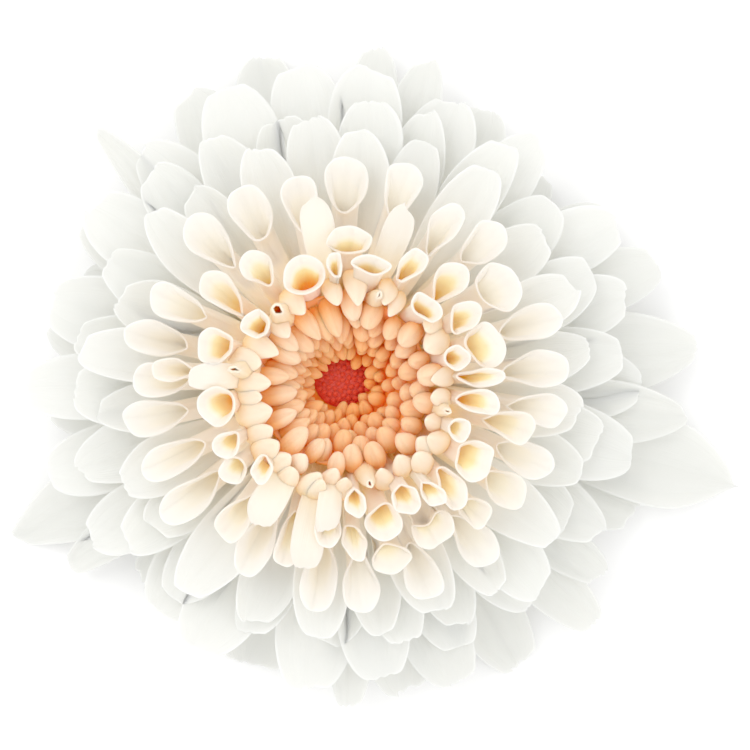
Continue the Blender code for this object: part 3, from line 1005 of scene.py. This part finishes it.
# The shut ones: azimuth, the distances of the tip and of the bowed back from the axis, and the
# width.
SHUT = (
    (5, 9.9, 12.4, 2.3),
    (28, 10.2, 13.0, 3.1),
    (38, 11.4, 13.6, 2.7),
    (60, 9.8, 12.4, 1.9),
    (68, 10.8, 13.2, 2.3),
    (88, 10.0, 13.5, 2.7),
    (100, 10.2, 12.4, 2.2),
    (125, 10.7, 13.2, 2.7),
    (139, 9.9, 12.0, 2.3),
    (157, 9.9, 13.2, 2.9),
    (167, 11.4, 14.4, 2.8),
    (178, 10.0, 13.4, 2.8),
    (186, 11.1, 13.2, 2.5),
    (196, 10.2, 13.6, 3.3),
    (208, 11.0, 13.4, 2.6),
    (218, 11.3, 14.0, 3.0),
    (226, 11.3, 13.8, 2.8),
    (236, 12.2, 14.4, 2.7),
    (238, 10.2, 12.2, 2.4),
    (247, 11.3, 14.0, 2.8),
    (252, 11.9, 14.0, 2.3),
    (257, 10.3, 12.6, 2.5),
    (266, 11.2, 13.4, 2.4),
    (290, 10.7, 13.0, 2.4),
    (303, 10.3, 12.6, 2.6),
    (312, 11.4, 13.8, 2.7),
    (321, 10.4, 12.6, 2.5),
    (328, 11.2, 13.7, 2.8),
    (336, 10.0, 12.0, 2.3),
    (351, 9.9, 12.0, 2.3),
)
# Where along a grain its outline's points are, and how far its soft lobes stand out and its tip
# strays to one side.
GRAIN_LEVELS = (0, 0.15, 0.35, 0.55, 0.75, 0.9, 1)
THREE_LOBES = 0.11
FOUR_LOBES = 0.08
STRAYING = 0.05
GRAIN_ROWS = 10
GRAIN_SIDES = 10
# The share of a grain's length that is sunk in what it grows from, how much deeper its colour is
# there, partly its own orange base and partly painted warm shade in the gaps between grains, and
# over what share of the length that fades.
SUNK = 0.3
SUNK_DEPTH = 0.45
SUNK_FADE = 0.45


def grain(gathering, foot, azimuth, tilt, width, length, *, sharp, bow, depth, tone, flat=1.0):
    """A closed floret: a round or flattened body on a sunk foot, with soft lobes and a tip that
    bows to the axis, sharper where sharp is more."""
    around = np.arange(GRAIN_SIDES) * math.tau / GRAIN_SIDES
    v, around = np.meshgrid(np.linspace(0, 1, GRAIN_ROWS), around, indexing="ij")
    profile = np.interp(
        v,
        GRAIN_LEVELS,
        (0.6, 0.85, 1.0, 1.0 - 0.05 * sharp, 0.86 - 0.2 * sharp, 0.58 - 0.24 * sharp, 0.12),
    )
    phases = [vary(math.pi) for _ in range(3)]
    lobes = 1 + THREE_LOBES * np.cos(3 * around + phases[0]) * v
    lobes = lobes + FOUR_LOBES * np.cos(4 * around + phases[1]) * v
    radius = width / 2 * profile * lobes
    x = flat * radius * np.cos(around) - bow * length * v * v
    y = radius * np.sin(around) + STRAYING * length * math.sin(phases[2]) * v * v
    x, z = spun(x, (v - SUNK) * length, math.radians(tilt))
    shade = depth + SUNK_DEPTH * np.clip(1 - (v - SUNK) / SUNK_FADE, 0, 1) ** 1.2
    gathering.add(
        lean(round_the_stem(foot[0] + x, y, foot[1] + z, azimuth)),
        body_faces(GRAIN_ROWS, GRAIN_SIDES),
        depth=shade.reshape(-1),
        along=v.reshape(-1),
        across=(around / math.pi - 1).reshape(-1),
        tone=tone,
    )


half_open = Gathering()
for azimuth, distance, hole, slit, bulk, closing in HALF_OPEN:
    quill(
        half_open,
        azimuth + vary(1.0),
        distance - hole / 2,
        distance + hole / 2,
        slit,
        0.0,
        closing,
        0.0,
        vary(0.04),
        bulk=bulk,
        near_lip=closing,
    )
for azimuth, tip, back, width in SHUT:
    middle = back - SHUT_THICKNESS * width / 2
    grain(
        half_open,
        (middle, SHUT_FOOT + vary(0.4)),
        azimuth + vary(1.0),
        SHUT_TILT,
        SHUT_BREADTH * width,
        SHUT_LENGTH,
        sharp=0.5 + vary(0.3),
        bow=(middle - tip) / SHUT_LENGTH,
        depth=0.02,
        tone=vary(0.05),
        flat=SHUT_THICKNESS,
    )
half_open_peach = tissue(
    "half_open_peach",
    (
        (0.0, seen(238, 217, 190)),
        (0.3, seen(246, 208, 158)),
        (0.6, seen(254, 190, 100)),
        (1.0, seen(252, 150, 42)),
    ),
    glow_reach=0.6,
)
half_open.piece("half_open_florets", half_open_peach, "quill", "quilled_florets")


# The buds: closed florets packed in spirals round the inside of the crown, smaller and redder
# inwards, each a soft blunt grain. They line a funnel, and lean in more on its left side.
BUD_COUNT = 112
# The width and depth of the innermost bud and how they change up to the rim, its length beside
# its width, and its tilt to the axis, halfway round the funnel and how much more on the left.
BUD_WIDTH = 1.5
BUD_WIDTH_MORE = 1.2
BUD_DEPTH = 0.6
BUD_DEPTH_LESS = 0.52
BUD_SLENDER = 1.85
BUD_TILT = 40
BUD_TILT_MORE = 20
BUD_BOW = 0.1
# The sharpness of a bud that leans in least, and how much sharper each further degree makes it.
BUD_SHARPNESS = 0.1
SHARPER_BY_DEGREE = 0.008
BUD_RIM_RADIUS = 10.0
BUD_RIM_TOP = 23.2
PIT_RADIUS = 3.6
PIT_EDGE = 17.0
# The funnel's body under the buds, from outside its foot, over the rim and down to the pit. Its
# deep orange shows only in the gaps between the buds, as painted warm shade.
FUNNEL_SIDES = 40
FUNNEL_PROFILE = (
    (7.3, 13.4, 0.8),
    (9.9, 21.4, 0.8),
    (10.1, 22.2, 0.8),
    (9.6, 22.4, 0.8),
    (3.7, 16.2, 1.0),
    (3.5, 15.9, 1.0),
    (3.5, 15.1, 1.0),
)
INNERMOST_BUD = PIT_RADIUS + 0.4
OUTERMOST_BUD = BUD_RIM_RADIUS + 0.1
# Below 1, the buds stand closer together inwards.
BUD_SPREAD = 0.75
LEFT_SIDE = 170.0
HOLE_SHIFT = 0.9
GOLDEN_ANGLE = 180 * (3 - math.sqrt(5))
buds = Gathering()
turned(buds, FUNNEL_PROFILE, FUNNEL_SIDES)
for i in range(BUD_COUNT):
    share = (i + 0.5) / BUD_COUNT
    inner, outermost = INNERMOST_BUD**BUD_SPREAD, OUTERMOST_BUD**BUD_SPREAD
    radius = (inner + (outermost - inner) * share) ** (1 / BUD_SPREAD)
    out = (radius - INNERMOST_BUD) / (OUTERMOST_BUD - INNERMOST_BUD)
    azimuth = i * GOLDEN_ANGLE + vary(2.5)
    x = radius * math.cos(math.radians(azimuth)) - HOLE_SHIFT * (1 - out)
    y = radius * math.sin(math.radians(azimuth))
    radius, azimuth = math.hypot(x, y), math.degrees(math.atan2(y, x))
    height = PIT_EDGE + (BUD_RIM_TOP - PIT_EDGE) * out
    width = (BUD_WIDTH + BUD_WIDTH_MORE * out) * (1 + vary(0.16))
    from_left = math.radians(azimuth - LEFT_SIDE)
    tilt = BUD_TILT + BUD_TILT_MORE * math.cos(from_left) + vary(7)
    leaning = tilt - (BUD_TILT - BUD_TILT_MORE)
    grain(
        buds,
        (radius + vary(0.55 - 0.4 * out), height + vary(0.3)),
        azimuth,
        tilt,
        width,
        (BUD_SLENDER + vary(0.15)) * width,
        sharp=BUD_SHARPNESS + SHARPER_BY_DEGREE * leaning + vary(0.3),
        bow=BUD_BOW,
        depth=BUD_DEPTH - BUD_DEPTH_LESS * out,
        tone=vary(0.07),
        flat=0.9,
    )
bud_peach = tissue(
    "bud_peach",
    (
        (0.0, seen(242, 206, 168)),
        (0.25, seen(238, 177, 118)),
        (0.5, seen(240, 158, 80)),
        (0.75, seen(246, 134, 36)),
        (1.0, seen(246, 100, 14)),
    ),
    glow_reach=0.8,
    vein=0.08,
    mottle=0.1,
)
buds.piece("centre_grains", bud_peach, "bud", "centre_buds")


# The heart: the youngest buds, a low fuzzy dome of red points at the bottom of the funnel. They
# grow from the same cushion as the buds, in the same spiral.
HEART_COUNT = 60
HEART_RADIUS = PIT_RADIUS - 0.3
HEART_SIDES = 24
POINT_WIDTH = 0.7
POINT_LENGTH = 0.8
# How far the outermost points lean in, stand in from the dome's edge and lie below its middle.
POINT_TILT = 12
POINT_INSET = 0.2
DOME_DROP = 0.5
DOME_TOP = 16.1
DOME_PROFILE = (
    (0.5, 15.3, 0.8),
    (HEART_RADIUS, 15.3, 0.8),
    (HEART_RADIUS, 15.6, 0.8),
    (HEART_RADIUS * 0.6, DOME_TOP, 0.8),
    (0.4, 16.3, 0.8),
)
heart = Gathering()
turned(heart, DOME_PROFILE, HEART_SIDES)
for i in range(HEART_COUNT):
    radius = math.sqrt((i + 0.5) / HEART_COUNT) * (HEART_RADIUS - POINT_INSET)
    out = radius / HEART_RADIUS
    grain(
        heart,
        (radius, DOME_TOP - DOME_DROP * out**2),
        i * GOLDEN_ANGLE,
        POINT_TILT * out,
        POINT_WIDTH,
        POINT_LENGTH,
        sharp=0.3,
        bow=BUD_BOW,
        depth=0.2 + vary(0.1),
        tone=vary(0.05),
    )
heart_red = tissue(
    "heart_red",
    (
        (0.0, seen(222, 42, 12)),
        (0.4, seen(216, 36, 10)),
        (1.0, seen(210, 30, 8)),
    ),
    roughness=0.7,
    glow=0.4,
    glow_reach=0.8,
)
heart.piece("heart_points", heart_red, "heart", "heart")


# The table and the light: a plain white surface under two broad white softboxes in a pale room,
# and the camera straight above it, as the photograph was taken. The table is sized in metres.
TABLE_SIZE = 3.0
ROOM_LIGHT = 1.16
# The photograph is strongly brightened, and this lifts the petals' shade as much.
LIFT = 1.6
# Light passes many times between the crowded petals.
LIGHT_BOUNCES = 10
# The width of the view at the level of the lower petals, and the point it is centred on.
FIELD = 90.0
FIELD_LEVEL = 4.0
FIELD_CENTRE = (3.96, 0.6)
CAMERA_HEIGHT = 450.0
SENSOR = 36.0

bpy.ops.mesh.primitive_plane_add(size=TABLE_SIZE, location=(0, 0, 0))
table = bpy.context.object
table.name = "table"
table_white = bpy.data.materials.new("table_white")
table_white.use_nodes = True
table_shader = table_white.node_tree.nodes["Principled BSDF"]
table_shader.inputs["Base Color"].default_value = seen(255, 255, 255)
table_shader.inputs["Roughness"].default_value = 0.8
table.data.materials.append(table_white)


def softbox(name, place, size, power):
    """A round softbox that looks at the bloom. Its place and size are in metres, its power in
    watts."""
    lamp = bpy.data.lights.new(name, "AREA")
    lamp.shape = "DISK"
    lamp.size = size
    lamp.energy = power
    made = bpy.data.objects.new(name, lamp)
    made.location = place
    made.rotation_euler = (-made.location).to_track_quat("-Z", "Y").to_euler()
    bpy.context.scene.collection.objects.link(made)


softbox("key", place=(-0.30, 0.25, 0.62), size=0.45, power=1.25)
softbox("fill", place=(0.45, -0.25, 0.55), size=0.5, power=0.65)
world = bpy.data.worlds.new("studio")
world.use_nodes = True
world.node_tree.nodes["Background"].inputs["Color"].default_value = (1, 1, 1, 1)
world.node_tree.nodes["Background"].inputs["Strength"].default_value = ROOM_LIGHT
bpy.context.scene.world = world
bpy.context.scene.view_settings.view_transform = "Standard"
bpy.context.scene.view_settings.gamma = LIFT
bpy.context.scene.cycles.diffuse_bounces = LIGHT_BOUNCES

lens = bpy.data.cameras.new("camera")
lens.sensor_width = SENSOR
lens.lens = SENSOR * (CAMERA_HEIGHT - FIELD_LEVEL) / FIELD
lens.clip_start = 0.01
lens.clip_end = 20.0
camera = bpy.data.objects.new("camera", lens)
camera.location = (FIELD_CENTRE[0] * MM, FIELD_CENTRE[1] * MM, CAMERA_HEIGHT * MM)
bpy.context.scene.collection.objects.link(camera)
bpy.context.scene.camera = camera
